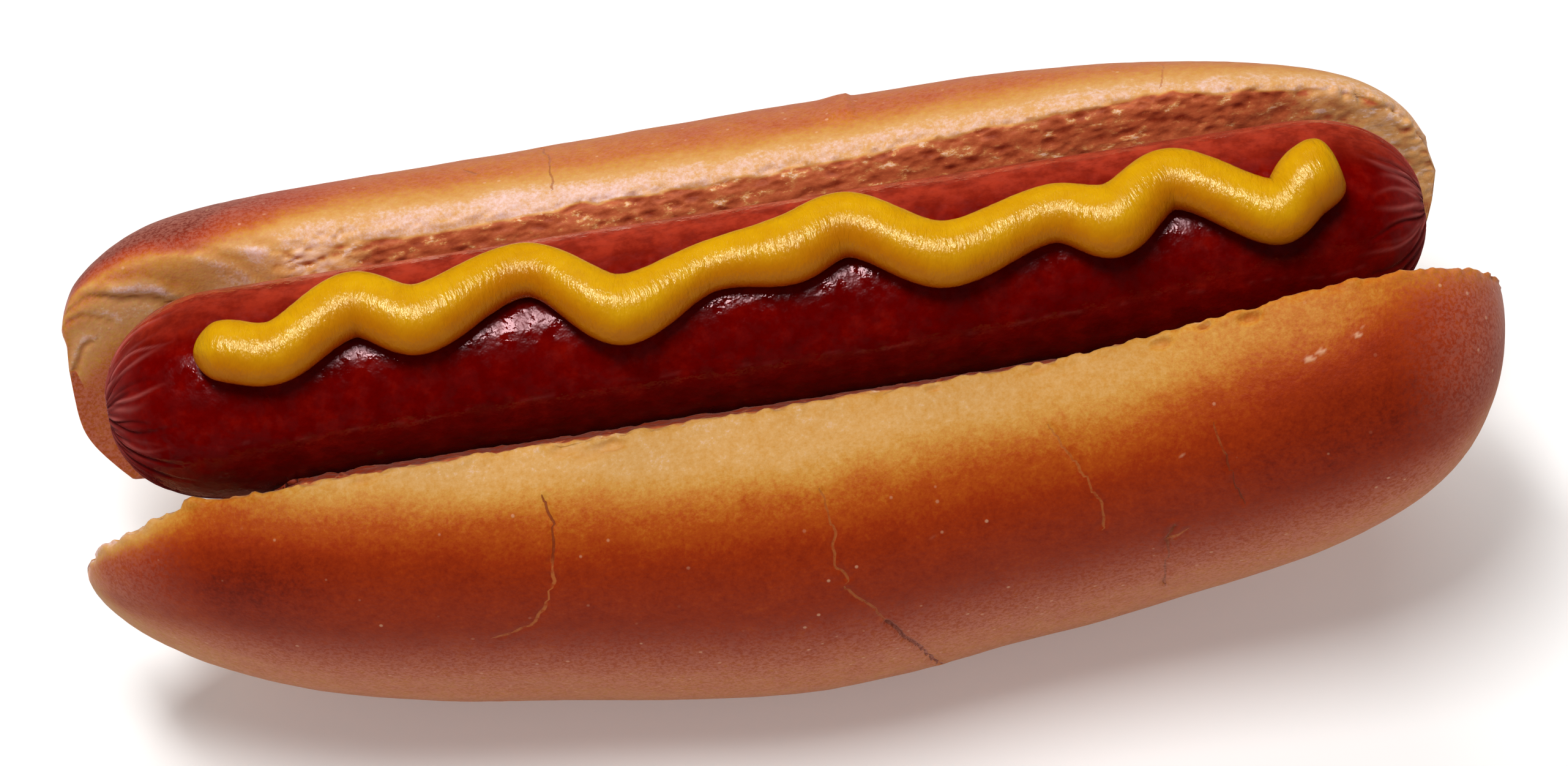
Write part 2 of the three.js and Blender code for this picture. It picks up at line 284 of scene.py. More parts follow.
def seat_arc(x, angle):
    """A point of the round seat under the sausage, at an angle below the horizontal."""
    radius = SAUSAGE_RADIUS + SEAT_CLEARANCE
    x, y, z = np.broadcast_arrays(x, radius * np.cos(angle), -radius * np.sin(angle))
    return np.stack([x, y, z], -1)


def shoulder_angle(half):
    """The angle below the horizontal at which the seat meets that half's cut face."""
    return SEAT_SHOULDER_ANGLE if half is FAR_HALF else np.pi - SEAT_SHOULDER_ANGLE


def corner_points(half, s):
    """Where a cut face ends below: the seat's shoulder, or the top of the thin hinge web."""
    section = section_of(half, s)
    web_share = HINGE_WEB_HEIGHT / np.maximum(2 * section[1], 2 * HINGE_WEB_HEIGHT)
    low = face_points(half, s, 1 - web_share)
    high = seat_arc(section[0], shoulder_angle(half))
    return clear_of_sausage(mix(low, high, seatedness(section[0])[..., None]))


def seat_points(half, s, t):
    """Half of the seat floor, from the middle of the V (t 0) up to the half's corner (t 1)."""
    own = corner_points(half, s)
    other = corner_points(other_half(half), s)
    bridge = mix((own + other) / 2, own, t[..., None])
    bridge[..., 2] -= HINGE_WEB_SAG * (1 - t * t)
    arc = seat_arc(bridge[..., 0], mix(np.pi / 2, shoulder_angle(half), t))
    return clear_of_sausage(mix(bridge, arc, seatedness(bridge[..., 0])[..., None]))


LATTICE_VALUES = 65536
LATTICE_PRIMES = (73856093, 19349663, 83492791)


def lattice_key(ix, iy, iz):
    """The place in a table of random values for a cell of the lattice: each index times a large
    prime, the three combined by exclusive or and cut to the length of the table."""
    a, b, c = LATTICE_PRIMES
    return (ix * a ^ iy * b ^ iz * c) & (LATTICE_VALUES - 1)


def lattice_noise(points, size, seed):
    """Soft random relief in -1..1: random values on a cubic lattice of the given size, blended
    across each cell by t * t * (3 - 2 t) along each axis."""
    table = np.random.default_rng(seed).uniform(-1, 1, LATTICE_VALUES)
    scaled = points / size
    cell = np.floor(scaled).astype(np.int64)
    f = scaled - cell
    f = f * f * (3 - 2 * f)
    total = np.zeros(points.shape[:-1])
    for corner in np.ndindex(2, 2, 2):
        ix, iy, iz = (cell[..., k] + corner[k] for k in range(3))
        key = lattice_key(ix, iy, iz)
        weight = np.ones(points.shape[:-1])
        for k in range(3):
            weight = weight * (f[..., k] if corner[k] else 1 - f[..., k])
        total += table[key] * weight
    return total


def nearest_dot(points, size, seed):
    """Distance to the nearest of random dots, one in each lattice cell, over the cell size."""
    jitter = np.random.default_rng(seed).random((LATTICE_VALUES, 3))
    scaled = points / size
    cell = np.floor(scaled).astype(np.int64)
    best = np.full(points.shape[:-1], 9.0)
    for step in np.ndindex(3, 3, 3):
        near = cell + np.array(step) - 1
        dot = near + jitter[lattice_key(*np.moveaxis(near, -1, 0))]
        best = np.minimum(best, np.linalg.norm(scaled - dot, axis=-1))
    return best


COINCIDENT = 0.001


def skin_of(rings, attributes):
    """Closes a tube of rings into one mesh: the last point of a ring joins the first, points
    that coincide become one, and triangles that have shut to a line are dropped."""
    rows, columns = rings.shape[:2]
    flat = rings.reshape(-1, 3)
    rounded = np.round(flat / COINCIDENT).astype(np.int64)
    _, first, merged = np.unique(rounded, axis=0, return_index=True, return_inverse=True)
    merged = merged.reshape(rows, columns)
    a = merged[:-1, :]
    b = merged[1:, :]
    c = np.roll(b, -1, axis=1)
    d = np.roll(a, -1, axis=1)
    triangles = np.concatenate([
        np.stack([a, b, c], -1).reshape(-1, 3), np.stack([a, c, d], -1).reshape(-1, 3)])
    i, j, k = triangles.T
    triangles = triangles[(i != j) & (j != k) & (k != i)]
    return flat[first], triangles, [values.reshape(-1)[first] for values in attributes]


def outward(points, triangles):
    """Unit normals at the points: the sum of the cross products of the triangles there."""
    p, q, r = (points[triangles[:, k]] for k in range(3))
    cross = np.cross(q - p, r - p)
    total = np.zeros_like(points)
    for k in range(3):
        np.add.at(total, triangles[:, k], cross)
    return total / np.maximum(np.linalg.norm(total, axis=1, keepdims=True), 1e-12)


def piece_from(name, points, triangles, values, material):
    """A smooth-shaded mesh object in metres from points in millimetres off the sausage's axis,
    with one float attribute for each named array of values."""
    mesh = bpy.data.meshes.new(name)
    mesh.vertices.add(len(points))
    mesh.vertices.foreach_set("co", (points * MM + AXIS).astype(np.float32).ravel())
    mesh.loops.add(3 * len(triangles))
    mesh.loops.foreach_set("vertex_index", triangles.astype(np.int32).ravel())
    mesh.polygons.add(len(triangles))
    mesh.polygons.foreach_set("loop_start", np.arange(0, 3 * len(triangles), 3, dtype=np.int32))
    mesh.polygons.foreach_set("use_smooth", np.ones(len(triangles), dtype=bool))
    for key, value in values.items():
        layer = mesh.attributes.new(key, "FLOAT", "POINT")
        layer.data.foreach_set("value", value.astype(np.float32))
    mesh.update(calc_edges=True)
    mesh.validate()
    mesh.materials.append(material)
    piece = bpy.data.objects.new(name, mesh)
    bpy.context.scene.collection.objects.link(piece)
    return piece


def length_along(line):
    """How far along a line of points each of them is."""
    return np.concatenate([[0], np.cumsum(np.linalg.norm(np.diff(line, axis=0), axis=1))])


def points_along(line, at):
    """The points of a line that are so far along it."""
    length = length_along(line)
    return np.stack([np.interp(at, length, line[:, k]) for k in range(3)], -1)


def crust_steps(count, seen, fine):
    """Steps down the crust: even in length at the fullest section, and finer by that factor over
    the first share of it, which faces the eater."""
    t = np.linspace(0, 1, 2000)
    length = length_along(crust_points(NEAR_HALF, np.zeros(1), t))
    effort = length + (fine - 1) * np.minimum(length, seen * length[-1])
    return np.interp(np.linspace(0, effort[-1], count), effort, t)


def along_to_station(half, x):
    """The station of a half, -1 to 1, at the place x along the bun."""
    return (np.asarray(x, float) - half["middle"]) * 2 / half["length"]


def line_relief(points, normals, path, width):
    """Signed distance from a line of points, in units of its width: the distance to its nearest
    stretch, positive on the side of normal x run."""
    best = np.full(len(points), 1e6)
    signed = np.full(len(points), 1e6)
    for start, end in zip(path[:-1], path[1:]):
        run = end - start
        share = np.clip(((points - start) @ run) / (run @ run), 0, 1)
        offset = points - start - share[:, None] * run
        distance = np.linalg.norm(offset, axis=1)
        side = np.where((offset * np.cross(normals, run)).sum(1) < 0, -1.0, 1.0)
        signed = np.where(distance < best, side * distance, signed)
        best = np.minimum(best, distance)
    return signed / width


def point_at(line, origin, reach):
    """The point of each row's line at that distance from its origin."""
    away = np.linalg.norm(line - origin, axis=-1)
    column = np.clip((away < reach).sum(1), 1, line.shape[1] - 1)[:, None]
    low = np.take_along_axis(away, column - 1, 1)
    high = np.take_along_axis(away, column, 1)
    share = np.clip((reach - low) / np.maximum(high - low, 1e-9), 0, 1)[..., None]
    start = np.take_along_axis(line, (column - 1)[..., None], 1)
    end = np.take_along_axis(line, column[..., None], 1)
    return mix(start, end, share)


# Points down the crust, finer over the share that is seen; along the hinge; up inside the bread;
# across half the seat; up the cut face, crowding to the lip; and stations along the bun, crowding
# to its tips.
CRUST_COUNT = 190
CRUST_SEEN = 0.55
CRUST_FINE = 2.4
HINGE_COUNT = 5
WALL_COUNT = 4
SEAT_COUNT = 16
OPEN_FACE_COUNT = 40
FACE_CROWDING = 1.25
STATION_COUNT = 386
STATION_CROWDING = 0.5
# How far from the sharp lip its rounding begins, and the most of the section it may take; the far
# lip is sharper towards its right. Points inside the bread count as this far below the lip.
NEAR_LIP_ROUND = 0.7
FAR_LIP_ROUND = 3.4
FAR_LIP_SHARPENS = 0.55
FAR_LIP_SHARPENS_ALONG = (10.0, 46.0)
LIP_ROUND_MOST = 0.35
INSIDE_BREAD = 40.0


def half_rings(half):
    """The rings of one half, lip to heel over the crust, along the hinge to the middle of the
    bun, up inside the bread to the seat, out to the corner and up the cut face to the lip.
    Beyond the hinge web the inner part shuts onto the lower cut face. The lip is rounded: near
    it, points slide to (1 - u) ** 2 P + 2 u (1 - u) L + u ** 2 Q, with L the sharp lip and P, Q
    the crust and face a reach away. Also returned, for every point: the way down the crust (-1
    off it) and the distance below the lip (negative over the crust)."""
    even = np.linspace(-1, 1, STATION_COUNT)
    s = mix(even, np.sin(even * np.pi / 2), STATION_CROWDING)
    left = np.searchsorted(s, -HINGE_END_LEFT)
    right = np.searchsorted(s, HINGE_END_RIGHT)
    s[left] = -HINGE_END_LEFT
    s[right] = HINGE_END_RIGHT
    s = s[:, None]
    t = crust_steps(CRUST_COUNT, CRUST_SEEN, CRUST_FINE)[None, :]
    crust = crust_points(half, s, t)
    own_heel = face_points(half, s, np.ones((1, 1)))
    middle = (own_heel + face_points(other_half(half), s, np.ones((1, 1)))) / 2
    step = np.linspace(0, 1, HINGE_COUNT + 1)[1:]
    hinge = press_on_table(mix(own_heel, middle, step[None, :, None]))
    seat = seat_points(half, s, np.linspace(0, 1, SEAT_COUNT)[None, :])
    rise = np.linspace(0, 1, WALL_COUNT + 2)[1:-1][None, :, None]
    wall = mix(hinge[:, -1:, :], seat[:, :1, :], rise)
    corner = corner_points(half, s)
    down = np.linspace(1, 0, OPEN_FACE_COUNT + 1)[1:-1][None, :] ** FACE_CROWDING
    lip = face_points(half, s, np.zeros((1, 1)))
    face = clear_of_sausage(mix(lip, corner, down[..., None]))
    section = section_of(half, s)
    if half["side"] < 0:
        reach = NEAR_LIP_ROUND * np.ones_like(s)
    else:
        reach = FAR_LIP_ROUND * (1 - FAR_LIP_SHARPENS * smooth(*FAR_LIP_SHARPENS_ALONG, section[0]))
    reach = np.minimum(reach, LIP_ROUND_MOST * np.minimum(section[1], section[2])) + 1e-3
    over = np.linalg.norm(crust - lip, axis=-1)
    under = np.linalg.norm(face - lip, axis=-1)
    p = point_at(crust, lip, reach)
    q = point_at(face[:, ::-1], lip, reach)
    for line, away, half_turn in ((crust, over, -0.5), (face, under, 0.5)):
        u = (0.5 + half_turn * np.minimum(away / reach, 1))[..., None]
        eased = (1 - u) ** 2 * p + 2 * u * (1 - u) * lip + u ** 2 * q
        line[:] = np.where((away < reach)[..., None], eased, line)
    inner = HINGE_COUNT + WALL_COUNT + SEAT_COUNT
    shut = np.linspace(0, 1, inner + 1)[1:][None, :, None]
    lower = mix(crust[:, -1:, :], corner, shut)
    webbed = np.concatenate([crust, hinge, wall, seat, face], 1)
    horned = np.concatenate([crust, lower, face], 1)
    rings = np.concatenate([horned[:left + 1], webbed[left:right + 1], horned[right:]], 0)
    deep = np.full((len(s), inner), INSIDE_BREAD)
    below = np.concatenate([-over, deep, under], 1)
    off_crust = -np.ones((len(s), inner + under.shape[1]))
    way = np.concatenate([t * np.ones_like(s), off_crust], 1)
    extra = [np.concatenate([v[:left + 1], v[left:right + 1], v[right:]], 0)
             for v in (way, below)]
    if half["side"] < 0:
        return rings[:, ::-1], [v[:, ::-1] for v in extra]
    return rings, extra


# Cracks in the glaze: along the bun and down the crust as a share of the way from lip to heel;
# then each one's half width, depth, and how open it is: 0 healed to 1 gaping.
NEAR_CRACKS = [
    ([(-25.7, 0.067), (-25.4, 0.113), (-25.5, 0.150), (-26.1, 0.180)], 0.15, 0.18, 0.8),
    ([(-26.1, 0.180), (-26.0, 0.215), (-28.6, 0.305), (-33.0, 0.345)], 0.14, 0.10, 0.10),
    ([(2.9, 0.110), (3.4, 0.169), (2.9, 0.233), (4.3, 0.262)], 0.12, 0.14, 0.35),
    ([(3.6, 0.285), (6.0, 0.325), (7.6, 0.380)], 0.13, 0.14, 0.30),
    ([(7.6, 0.380), (10.2, 0.470), (12.7, 0.578)], 0.25, 0.36, 1.0),
    ([(27.4, 0.083), (29.5, 0.163), (31.5, 0.237), (31.2, 0.285)], 0.12, 0.14, 0.30),
    ([(43.9, 0.150), (44.6, 0.209)], 0.10, 0.06, 0.5),
    ([(44.6, 0.209), (45.8, 0.312)], 0.12, 0.20, 0.9),
    ([(38.6, 0.330), (37.6, 0.361), (37.1, 0.494)], 0.18, 0.32, 0.7),
    ([(37.6, 0.361), (39.4, 0.345)], 0.12, 0.10, 0.1),
]
FAR_CRACKS = [
    ([(-21.3, 0.165), (-20.6, 0.090), (-20.4, 0.020)], 0.13, 0.10, 0.45),
    ([(-29.6, 0.105), (-28.6, 0.090)], 0.16, 0.12, 0.5),
    ([(45.2, 0.02), (46.0, 0.08), (45.9, 0.13)], 0.10, 0.06, 0.25),
]
CRACK_STRAY = 0.35
CRACK_REACH = 0.45
CRACK_SEED = 60
# Small torn pockets under the near lip: along, down the crust, half length and depth.
POCKETS = [
    (-18.0, 0.0075, 1.5, 0.60), (-23.0, 0.0060, 1.6, 0.35), (-20.5, 0.0130, 1.8, 0.25),
    (39.9, 0.0080, 1.1, 0.50), (44.5, 0.0030, 0.8, 0.70), (49.3, 0.0080, 1.1, 0.60),
    (16.0, 0.0040, 0.8, 0.35), (-44.0, 0.0050, 1.2, 0.30), (27.0, 0.0030, 1.0, 0.30),
]
POCKET_DEEPER = 1.3
POCKET_CRUMB = 0.24
# Burst blisters that left a pale fleck: along, down the crust, and half length.
BLISTERS = [
    (54.6, 0.084, 0.75), (55.9, 0.079, 0.5), (59.9, 0.070, 0.4), (60.6, 0.062, 0.25),
    (58.0, 0.090, 0.22), (40.4, 0.185, 0.20), (13.6, 0.222, 0.18), (9.3, 0.300, 0.20)]
BLISTER_SEED = 90
# Creases of the folded skin at the far half's left tip: along, and down the face from the lip;
# then half width and depth, less than 0 for a raised fold. Each is painted with shade in its dip
# and with light on its rise.
FOLDS = [
    ([(-72.6, 0.2), (-70, 2.0), (-68, 3.6), (-66, 4.5), (-64, 5.5), (-62, 7.0)], 0.45, 0.85),
    ([(-73.5, 1.2), (-72, 2.6), (-71, 3.6), (-70, 4.9), (-69, 6.2)], 0.30, 0.35),
    ([(-74.4, 5.4), (-73.0, 5.6), (-72.0, 6.4)], 0.30, 0.40),
    ([(-59.0, 1.6), (-56.0, 3.0), (-54.3, 4.4), (-52.6, 5.6)], 0.45, -0.40),
    ([(-62.0, 0.4), (-57.0, 0.8), (-52.0, 1.8)], 0.50, -0.25),
    ([(-68.0, 2.2), (-65.5, 2.9), (-63.0, 4.6)], 0.45, -0.30),
]
FOLD_STRAY = 0.25
FOLD_PAINTED_LIGHT = 0.22
FOLD_SEED = 80
# A flake of crust stands up on the far half's back: where along the bun it rises and breaks off,
# where it starts and ends over the crust from the lip, and how high it stands.
FLAKE_RISE = (7.5, 11.8)
FLAKE_EDGE = (12.2, 12.9)
FLAKE_START = (5.0, 8.0)
FLAKE_END = (13.0, 17.0)
FLAKE_LIFT = 0.55
# The far half's left tip swells low down and hangs over where its skin folds; below a sloping
# floor it is pared back behind the sausage. Heights are along TIP_UP, which leans back from the
# eater; every pair is where a change starts and ends, or the middle and width of a bell.
TIP_UP = np.array([0, np.sin(CAMERA_ELEVATION), np.cos(CAMERA_ELEVATION)])
TIP_ALONG = (-60.0, -70.0)
TIP_BULGE = 1.3
TIP_BULGE_UP = (-2.5, 4.5)
FOLD_OVERHANG = 0.65
FOLD_UNDER = (7.6, 9.6)
FOLD_OVER = (13.5, 17.5)
TIP_FLOOR = -9.8
TIP_FLOOR_RISE = 2.4
TIP_FLOOR_ALONG = (-62.0, -67.0)
PARED_ALONG = (-53.0, -61.0)
PARED_SHARE = 0.92
# The near lip curls in towards the sausage at the left: how far, and the two bells of its reach.
CURL = 1.0
CURL_ALONG = (-62.0, 6.0)
CURL_DOWN = (0.0, 4.0)


def wandering(path, size, seed):
    """The path in steps of about half a millimetre, strayed each way by size * lattice noise."""
    length = length_along(path)[-1]
    line = points_along(path, np.linspace(0, length, int(length / 0.5) + 2))
    stray = np.stack([lattice_noise(line + 31.7 * k, 1.1, seed) for k in (1, 2, 3)], -1)
    return line + size * stray


def cracks_over(half, points, normals):
    """For each point, from its nearest crack: the signed distance in half widths, how far past
    the crack's reach that is, and how open the crack is; and the relief of all the cracks, each
    a groove, a bell on its line, between two low banks, a bell to either side."""
    share = np.full(len(points), 9.0)
    past = np.full(len(points), 9.0)
    openness = np.zeros(len(points))
    relief = np.zeros(len(points))
    cracks = NEAR_CRACKS if half is NEAR_HALF else FAR_CRACKS
    for number, (line, width, depth, gape) in enumerate(cracks):
        along, down = np.array(line).T
        path = crust_points(half, along_to_station(half, along), down)
        path = wandering(path, CRACK_STRAY, CRACK_SEED + number)
        signed = line_relief(points, normals, path, width)
        nearer = np.abs(signed) < np.abs(share)
        share = np.where(nearer, signed, share)
        past = np.where(nearer, np.abs(signed) - CRACK_REACH / width, past)
        openness = np.where(nearer, gape, openness)
        across = np.abs(signed) * width
        relief += depth * (0.35 * bump(across, 0.75, 0.45) - bump(across, 0, 0.36))
    return np.clip(share, -9, 9), np.clip(past, -9, 9), openness, relief


def spot_distance(points, along, down, half_length):
    """Distance from a spot of the near crust: 1 at its half length along the bun and at half of
    that across it."""
    centre = crust_points(NEAR_HALF, along_to_station(NEAR_HALF, along), np.array(down))
    scale = np.array([1 / half_length, 2 / half_length, 2 / half_length])
    return np.linalg.norm((points - centre) * scale, axis=1)


def pockets_in(points):
    """Share, 0 to 1, and depth of the torn pockets: exp of minus the distance to the fourth
    power, so that each has a flat floor and a sharp rim."""
    share = np.zeros(len(points))
    depth = np.zeros(len(points))
    for along, down, half_length, deep in POCKETS:
        pocket = np.exp(-spot_distance(points, along, down, half_length) ** 4)
        share = np.maximum(share, pocket)
        depth += POCKET_DEEPER * deep * pocket
    return share, depth


def blisters_on(points):
    """1 on the burst blisters and 0 off them: each spot's distance, roughened by noise, eased
    down from 0.6 to 1.1 of its size."""
    burst = np.zeros(len(points))
    for number, (along, down, half_length) in enumerate(BLISTERS):
        away = spot_distance(points, along, down, half_length)
        away += 0.5 * lattice_noise(points, 0.5, BLISTER_SEED + number)
        burst = np.maximum(burst, smooth(1.1, 0.6, away))
    return burst


def folds_over(points, normals):
    """Relief and painted light of the far half's folds: a bell sunk on each line and a bell raised
    beside it, with painted shade in the dip and painted light on the rise; a negative depth turns
    both round."""
    relief = np.zeros(len(points))
    shade = np.zeros(len(points))
    for number, (line, width, depth) in enumerate(FOLDS):
        along, down = np.array(line).T
        s = along_to_station(FAR_HALF, along)
        share = down / np.maximum(2 * section_of(FAR_HALF, s)[1], 1.0)
        path = wandering(face_points(FAR_HALF, s, share), FOLD_STRAY, FOLD_SEED + number)
        share = line_relief(points, normals, path, width)
        relief += depth * (0.35 * bump(share, 2.2, 1.8) - 0.6 * bump(share, 0, 1))
        shade += np.sign(depth) * 0.5 * (bump(share, 0, 1.0) - bump(share, 2.4, 1.3))
    return relief, shade


def flake_over(x, below):
    """Height of the flake: a slow rise and a sharp edge along the bun, times a soft band down
    the crust."""
    along = smooth(*FLAKE_RISE, x) * (1 - smooth(*FLAKE_EDGE, x))
    down = smooth(*FLAKE_START, -below) * (1 - smooth(*FLAKE_END, -below))
    return FLAKE_LIFT * along * down


def shaped_tip(points, x):
    """The far half's left tip: moved out by a bell for the swelling and by a step for the fold's
    overhang, then raised by nearly all of its depth below the sloping floor."""
    tip = smooth(*TIP_ALONG, x)
    height = points @ TIP_UP
    overhang = smooth(*FOLD_UNDER, height) * (1 - smooth(*FOLD_OVER, height))
    out = TIP_BULGE * bump(height, *TIP_BULGE_UP) + FOLD_OVERHANG * overhang
    depth = TIP_FLOOR + TIP_FLOOR_RISE * smooth(*TIP_FLOOR_ALONG, x) - height
    raised = PARED_SHARE * np.maximum(depth, 0) * smooth(*PARED_ALONG, x)
    return points + raised[:, None] * TIP_UP - (tip * out)[:, None] * np.array([1, 0, 0])


def curled_lip(points, x, below):
    """The near half's left lip curled in: a bell along the bun times a bell down from the lip."""
    curl = CURL * bump(x, *CURL_ALONG) * bump(below, *CURL_DOWN)
    return points + curl[:, None] * TIP_UP


def ragged_lip(points, below, x):
    """The torn edge: coarse and fine noise times a bell on the lip, coarser at the left tip,
    deeper at the far half's right and gone where its skin is folded over."""
    left, right = smooth(-57, -64, x), smooth(58, 66, x) * (points[:, 1] > 0)
    rough = 0.30 * lattice_noise(points, 1.5, 17) + 0.30 * lattice_noise(points, 0.75, 18)
    rough += 0.50 * left * lattice_noise(points, 3.1, 20)
    folded = smooth(-47, -52, x) * (points[:, 1] > 0)
    return np.exp(-(below / 0.8) ** 2) * (1 + 0.3 * left + 0.9 * right) * (1 - folded) * rough


def crumb_pores(points, size, seed):
    """Depth of the pores, 0 to 0.5: one in each cell, drawn out along the bun."""
    return np.clip(0.5 - nearest_dot(points * np.array([0.5, 1, 1]), size, seed), 0, 1)


def crumb_relief(points):
    """Open crumb: two sizes of pores sunk round random dots, over a soft unevenness."""
    lumps = 0.20 * lattice_noise(points, 2.2, 16) + 0.14 * lattice_noise(points, 0.8, 19)
    pores = 0.60 * crumb_pores(points, 1.3, 14) + 0.35 * crumb_pores(points, 0.7, 15)
    return (1 + 0.5 * bump(points[:, 0], -48, 5)) * (lumps - pores)


def crust_relief(points):
    """Slow swells of the dough and the fine grain of the glaze."""
    swell = 0.16 * lattice_noise(points, 14.0, 11) + 0.07 * lattice_noise(points, 5.0, 12)
    return swell + 0.022 * lattice_noise(points, 1.0, 13)


def bake_of_near(points, x, t):
    """How brown the near crust is, 0 pale to 1 darkest: pale beside the lip, through gold to
    deep brown past the turn of its shoulder, which lies nearer the lip towards both ends; darkest
    near the ends, and paler again underneath and at the very tips."""
    turn = 0.116 - 0.050 * smooth(-22, -46, x) - 0.050 * smooth(-46, -62, x)
    turn = turn - 0.012 * smooth(44, 56, x) - 0.055 * smooth(56, 72, x)
    patchy = 0.010 * lattice_noise(points, 11.0, 31) + 0.008 * lattice_noise(points, 4.0, 32)
    way = t - turn + patchy
    brown = 0.20 + 0.38 * smooth(-0.082, 0.018, way) + 0.22 * smooth(0.0, 0.10, way)
    brown += 0.05 * smooth(0, 30, x) * (1 - smooth(-0.082, 0.018, way))
    brown += (0.20 * smooth(32, 60, x) + 0.02 * smooth(-50, -64, x)) * (1 - smooth(0.0, 0.10, way))
    brown -= smooth(-58, -68, x) * (0.10 + 0.28 * bump(t, 0, 0.055))
    brown -= 0.20 * smooth(-72.5, -75.0, x)
    dark_ends = 0.16 * bump(x, -60, 10) * bump(t, 0.20, 0.10)
    dark_ends += 0.12 * bump(x, 60, 12) * bump(t, 0.24, 0.10)
    underside = 0.34 * smooth(0.31, 0.56, t)
    tips = 0.10 * smooth(66, 77, np.abs(x))
    return brown + dark_ends - underside - tips


def bake_of_far(points, x, t, below):
    """How brown the far crust is: a very pale band along its rounded lip, partly the crust's own
    pale colour and partly a painted highlight, palest round x = -20; golden over its shoulder and
    brown on the left of it; the skin folded over the cut face at the left tip is tan, and browner
    low down; paler again underneath."""
    over = np.maximum(-below, 0) + 0.6 * lattice_noise(points, 6.0, 33)
    # The very pale band along the lip: partly the crust's own colour, partly a painted highlight.
    pale = smooth(-56, -44, x) * (1 - 0.35 * smooth(20, 38, x))
    right = smooth(20, 46, x)
    brown = mix(0.15, 0.11 - 0.06 * bump(x, -20, 13), pale) + 0.17 * smooth(1.6, 4.6, over)
    brown += (0.25 - 0.09 * right) * smooth(3.5, 8.0, over)
    shoulder = smooth(0.4, 3.0, over) * smooth(-38, -60, x)
    shoulder += 0.7 * smooth(-0.5, 1.5, over) * smooth(-55, -62, x)
    brown += 0.42 * shoulder * (1 - smooth(0.20, 0.50, t))
    brown += 0.36 * smooth(-60, -66, x) * smooth(6.0, 12.0, below)
    brown += 0.18 * smooth(-58, -66, x) * bump(below, 0.5, 2.4)
    return brown - 0.22 * smooth(0.40, 0.65, t)


def cut_of_near(points, below):
    """Where the near half shows crumb: all over its cut face, and in specks at the lip."""
    return smooth(-0.3, 0.5, below - 0.50 + 0.55 * lattice_noise(points, 0.9, 34))


def cut_of_far(points, x, below):
    """Where the far half shows crumb: below its rounded lip, from the folded skin rightwards."""
    edge = 1.5 - 0.8 * smooth(-28, -16, x) - 0.5 * smooth(10, 42, x) - 0.9 * bump(x, 45, 4)
    uneven = 0.35 * lattice_noise(points, 1.6, 35) + 0.25 * lattice_noise(points, 5.0, 36)
    skin = smooth(-50, -53, x + 1.5 * lattice_noise(points, 2.5, 37))
    seen = smooth(-0.35, 0.35, below - edge + uneven)
    return seen * (1 - skin)


def tone_and_shade_of_near(x, below):
    """Tone of the near crumb, 0 pale to 1 brown: pale where it is torn at the lip, and below it
    brown, which is painted shade where the face lies in the sausage's shadow, but less so at the
    left tip."""
    return mix(0.40, 1.05 - 0.65 * smooth(-54, -60, x), smooth(0.4, 1.8, below))


def tone_and_shade_of_far(points, x):
    """Tone of the far crumb: brown along the sausage, pale where it is freshly torn,
    and browner down in its pores, which is painted shade."""
    torn = bump(x, -46.8, 5.4)
    open_end = smooth(57, 64, x + 1.5 * lattice_noise(points, 3.0, 38))
    # Painted shade: browner in the pores.
    pores = (0.8 + 0.3 * torn) * crumb_pores(points, 1.3, 14) + torn * crumb_pores(points, 0.7, 15)
    return 0.56 - 0.50 * torn - 0.30 * open_end + pores


def flour_of(half, x, way, below):
    """How floury the crust is, 0 to 1: underneath and at the tips; on the far half all over, more
    on its back and at the left, and most on the folded skin."""
    floury = np.maximum(smooth(0.30, 0.50, way), 0.6 * smooth(62, 75, np.abs(x)))
    if half is NEAR_HALF:
        return floury
    back = 0.35 + 0.20 * smooth(2.5, 8.0, -below) + 0.15 * smooth(-45, -60, x)
    folded = 0.75 * smooth(-57, -67, x) * smooth(-2.0, 1.0, below)
    return np.maximum(floury, np.maximum(back, folded))


def srgb(red, green, blue):
    """A linear colour from the 0 to 255 values that a paint chart gives."""
    value = np.array([red, green, blue]) / 255
    linear = np.where(value <= 0.04045, value / 12.92, ((value + 0.055) / 1.055) ** 2.4)
    return (*linear, 1.0)


def add_node(tree, kind, **settings):
    """A node of that kind; settings are its properties, and values for inputs of that name."""
    node = tree.nodes.new(kind)
    for key, value in settings.items():
        if hasattr(node, key):
            setattr(node, key, value)
        else:
            set_inputs(node, **{key: value})
    return node


def colour_ramp(tree, stops):
    """A colour ramp with those stops, each a place and a colour."""
    ramp = add_node(tree, "ShaderNodeValToRGB")
    ramp.color_ramp.elements[0].position, ramp.color_ramp.elements[0].color = stops[0]
    ramp.color_ramp.elements[1].position, ramp.color_ramp.elements[1].color = stops[-1]
    for position, colour in stops[1:-1]:
        ramp.color_ramp.elements.new(position).color = colour
    return ramp


def attribute_of(tree, name):
    """The values of that name that the piece carries, one for each point."""
    return add_node(tree, "ShaderNodeAttribute", attribute_name=name).outputs["Fac"]


def maths(tree, operation, first, second, third=None):
    """A maths node on outputs or numbers; gives its output."""
    node = add_node(tree, "ShaderNodeMath", operation=operation)
    for socket, value in zip(node.inputs, (first, second, third)):
        if value is None:
            continue
        if isinstance(value, (int, float)):
            socket.default_value = value
        else:
            tree.links.new(value, socket)
    return node.outputs[0]


def ranged(tree, value, low, high, to_low=0.0, to_high=1.0):
    """The value taken from low..high to to_low..to_high, eased at both ends."""
    node = add_node(
        tree, "ShaderNodeMapRange", interpolation_type="SMOOTHSTEP",
        From_Min=low, From_Max=high, To_Min=to_low, To_Max=to_high)
    tree.links.new(value, node.inputs["Value"])
    return node.outputs["Result"]


def blended(tree, share, first, second):
    """The first colour where share is 0 and the second where it is 1."""
    node = add_node(tree, "ShaderNodeMix", data_type="RGBA")
    sockets = node.inputs["Factor"], node.inputs[6], node.inputs[7]
    for socket, value in zip(sockets, (share, first, second)):
        if isinstance(value, tuple):
            socket.default_value = value
        else:
            tree.links.new(value, socket)
    return node.outputs[2]


